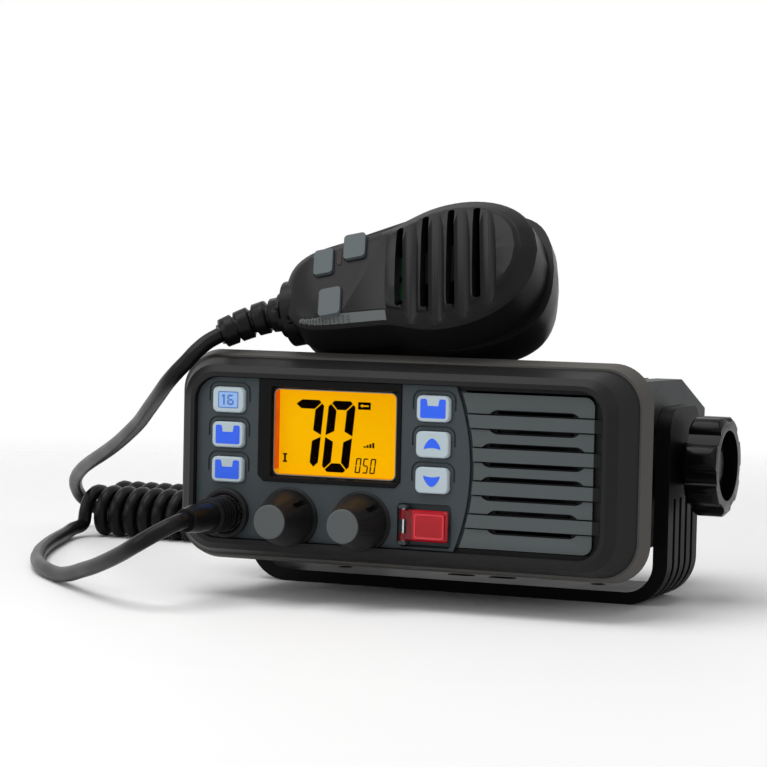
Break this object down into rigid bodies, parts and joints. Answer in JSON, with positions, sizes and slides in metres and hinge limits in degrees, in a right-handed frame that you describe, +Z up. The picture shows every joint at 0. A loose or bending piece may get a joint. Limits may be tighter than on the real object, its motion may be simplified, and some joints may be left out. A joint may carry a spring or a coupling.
{
  "type": "fixed-mount marine radio",
  "caption": "Marine two-way radio in a U bracket, with lit window, key columns, barred speaker front, two knobs, guarded call key and a hand microphone on a coiled cord.",
  "frame": {"origin": "centre of the bracket base plate underside, straight below the tilt axis", "axes": "+X to the viewer's right as the panel is faced, +Y back from the panel, +Z up from the base"},
  "size_m": [0.2978, 0.2279, 0.131],
  "materials": {
    "case_plastic": "fine moulded satin",
    "gasket_rubber": "matt moulded rubber",
    "panel_plastic": "slate grey, fine grain",
    "gloss_black": "polished",
    "window": "clear, flat",
    "light_guide": "glowing orange edge",
    "display": "amber, lit from behind",
    "key_rubber": "pale lit rubber",
    "mat_rubber": "matt",
    "red_clear": "clear red",
    "red_rubber": "satin",
    "knob_black": "satin",
    "cord_rubber": "satin moulded",
    "mic_plastic": "fine grain",
    "mic_key": "grey satin",
    "lens_red": "tinted",
    "coated_metal": "black powder coat",
    "cast_case": "dark grey powder coat",
    "steel": "bright",
    "brass": "turned",
    "nickel": "nickel plated",
    "board": "lacquered",
    "paper": "pressed cone"
  },
  "bodies": {
    "bracket": {"bracket": "coated_metal"},
    "radio": {"chassis": "cast_case", "bezel": "case_plastic", "gasket": "gasket_rubber", "front_panel": "panel_plastic", "lcd_surround": "gloss_black", "lcd_glass": "window", "lcd_light_frame": "light_guide", "lcd_display": "display", "speaker_grille": "panel_plastic", "speaker_frame": "coated_metal", "speaker_cone": "paper", "speaker_magnet": "knob_black", "key_mat": "mat_rubber", "knob_collars": "knob_black", "control_pots": "nickel", "distress_pin": "steel", "mic_socket": "knob_black", "mic_plug": "steel", "plug_boot": "cord_rubber", "housing_screws": "steel", "tilt_washers": "knob_black", "thread_inserts": "brass", "front_board": "board", "main_board": "board", "antenna_socket": "nickel", "power_socket": "knob_black", "data_socket": "knob_black", "cord_curls": "cord_rubber", "cord_plug_lead": "cord_rubber", "cord_mic_lead": "cord_rubber"},
    "left_clamp": {"left_clamp_knob": "gloss_black", "left_clamp_stud": "steel"},
    "right_clamp": {"right_clamp_knob": "gloss_black", "right_clamp_stud": "steel"},
    "squelch_control": {"squelch_knob": "knob_black", "squelch_shaft": "steel"},
    "volume_control": {"volume_knob": "knob_black", "volume_shaft": "steel"},
    "key_left_top": {"key_left_top": "key_rubber"},
    "key_left_middle": {"key_left_middle": "key_rubber"},
    "key_left_low": {"key_left_low": "key_rubber"},
    "key_right_top": {"key_right_top": "key_rubber"},
    "key_up": {"key_up": "key_rubber"},
    "key_down": {"key_down": "key_rubber"},
    "distress_cover": {"distress_cover": "red_clear"},
    "distress_button": {"distress_button": "red_rubber"},
    "microphone": {"mic_front_shell": "mic_plastic", "mic_back_shell": "mic_plastic", "mic_lens": "lens_red", "mic_board": "board", "mic_capsule": "paper", "mic_hanger": "steel", "mic_screws": "steel", "mic_relief": "cord_rubber"},
    "mic_ptt": {"mic_ptt": "mic_plastic"},
    "mic_key_upper": {"mic_key_upper": "mic_key"},
    "mic_key_inner": {"mic_key_inner": "mic_key"},
    "mic_key_lower": {"mic_key_lower": "mic_key"}
  },
  "joints": [
    {"name": "radio_tilt", "type": "hinge", "parent": "bracket", "child": "radio", "pos_m": [0, 0, 0.046], "axis": [-1, 0, 0], "range_deg": [-10, 20]},
    {"name": "left_clamp_turn", "type": "hinge", "parent": "radio", "child": "left_clamp", "pos_m": [-0.082, 0, 0.046], "axis": [-1, 0, 0], "range_deg": [0, 360]},
    {"name": "right_clamp_turn", "type": "hinge", "parent": "radio", "child": "right_clamp", "pos_m": [0.082, 0, 0.046], "axis": [1, 0, 0], "range_deg": [0, 360]},
    {"name": "squelch_turn", "type": "hinge", "parent": "radio", "child": "squelch_control", "pos_m": [-0.036, -0.071, 0.0274], "axis": [0, 1, 0], "range_deg": [-150, 150]},
    {"name": "volume_turn", "type": "hinge", "parent": "radio", "child": "volume_control", "pos_m": [-0.0107, -0.071, 0.0274], "axis": [0, 1, 0], "range_deg": [-150, 150]},
    {"name": "key_left_top_press", "type": "slide", "parent": "radio", "child": "key_left_top", "axis": [0, 1, 0], "range_m": [0, 0.001], "stiffness_N_per_m": 300, "springref_m": -0.001},
    {"name": "key_left_middle_press", "type": "slide", "parent": "radio", "child": "key_left_middle", "axis": [0, 1, 0], "range_m": [0, 0.001], "stiffness_N_per_m": 300, "springref_m": -0.001},
    {"name": "key_left_low_press", "type": "slide", "parent": "radio", "child": "key_left_low", "axis": [0, 1, 0], "range_m": [0, 0.001], "stiffness_N_per_m": 300, "springref_m": -0.001},
    {"name": "key_right_top_press", "type": "slide", "parent": "radio", "child": "key_right_top", "axis": [0, 1, 0], "range_m": [0, 0.001], "stiffness_N_per_m": 300, "springref_m": -0.001},
    {"name": "key_up_press", "type": "slide", "parent": "radio", "child": "key_up", "axis": [0, 1, 0], "range_m": [0, 0.001], "stiffness_N_per_m": 300, "springref_m": -0.001},
    {"name": "key_down_press", "type": "slide", "parent": "radio", "child": "key_down", "axis": [0, 1, 0], "range_m": [0, 0.001], "stiffness_N_per_m": 300, "springref_m": -0.001},
    {"name": "distress_cover_lift", "type": "hinge", "parent": "radio", "child": "distress_cover", "pos_m": [0.004, -0.0718, 0.0276], "axis": [0, 0, -1], "range_deg": [0, 105], "stiffness_Nm_per_rad": 0.002, "springref_deg": -22.92},
    {"name": "distress_press", "type": "slide", "parent": "radio", "child": "distress_button", "axis": [0, 1, 0], "range_m": [0, 0.0012], "stiffness_N_per_m": 400, "springref_m": -0.001},
    {"name": "microphone_lift", "type": "slide", "parent": "radio", "child": "microphone", "axis": [0, 0, 1], "range_m": [0, 0.05], "deforming": ["cord_mic_lead"]},
    {"name": "mic_ptt_press", "type": "slide", "parent": "microphone", "child": "mic_ptt", "axis": [0.213, -0.5514, -0.8066], "range_m": [0, 0.0015], "stiffness_N_per_m": 800, "springref_m": -0.001},
    {"name": "mic_key_upper_press", "type": "slide", "parent": "microphone", "child": "mic_key_upper", "axis": [0.041, 0.8299, -0.5564], "range_m": [0, 0.0008], "stiffness_N_per_m": 300, "springref_m": -0.001},
    {"name": "mic_key_inner_press", "type": "slide", "parent": "microphone", "child": "mic_key_inner", "axis": [0.041, 0.8299, -0.5564], "range_m": [0, 0.0008], "stiffness_N_per_m": 300, "springref_m": -0.001},
    {"name": "mic_key_lower_press", "type": "slide", "parent": "microphone", "child": "mic_key_lower", "axis": [0.041, 0.8299, -0.5564], "range_m": [0, 0.0008], "stiffness_N_per_m": 300, "springref_m": -0.001}
  ]
}
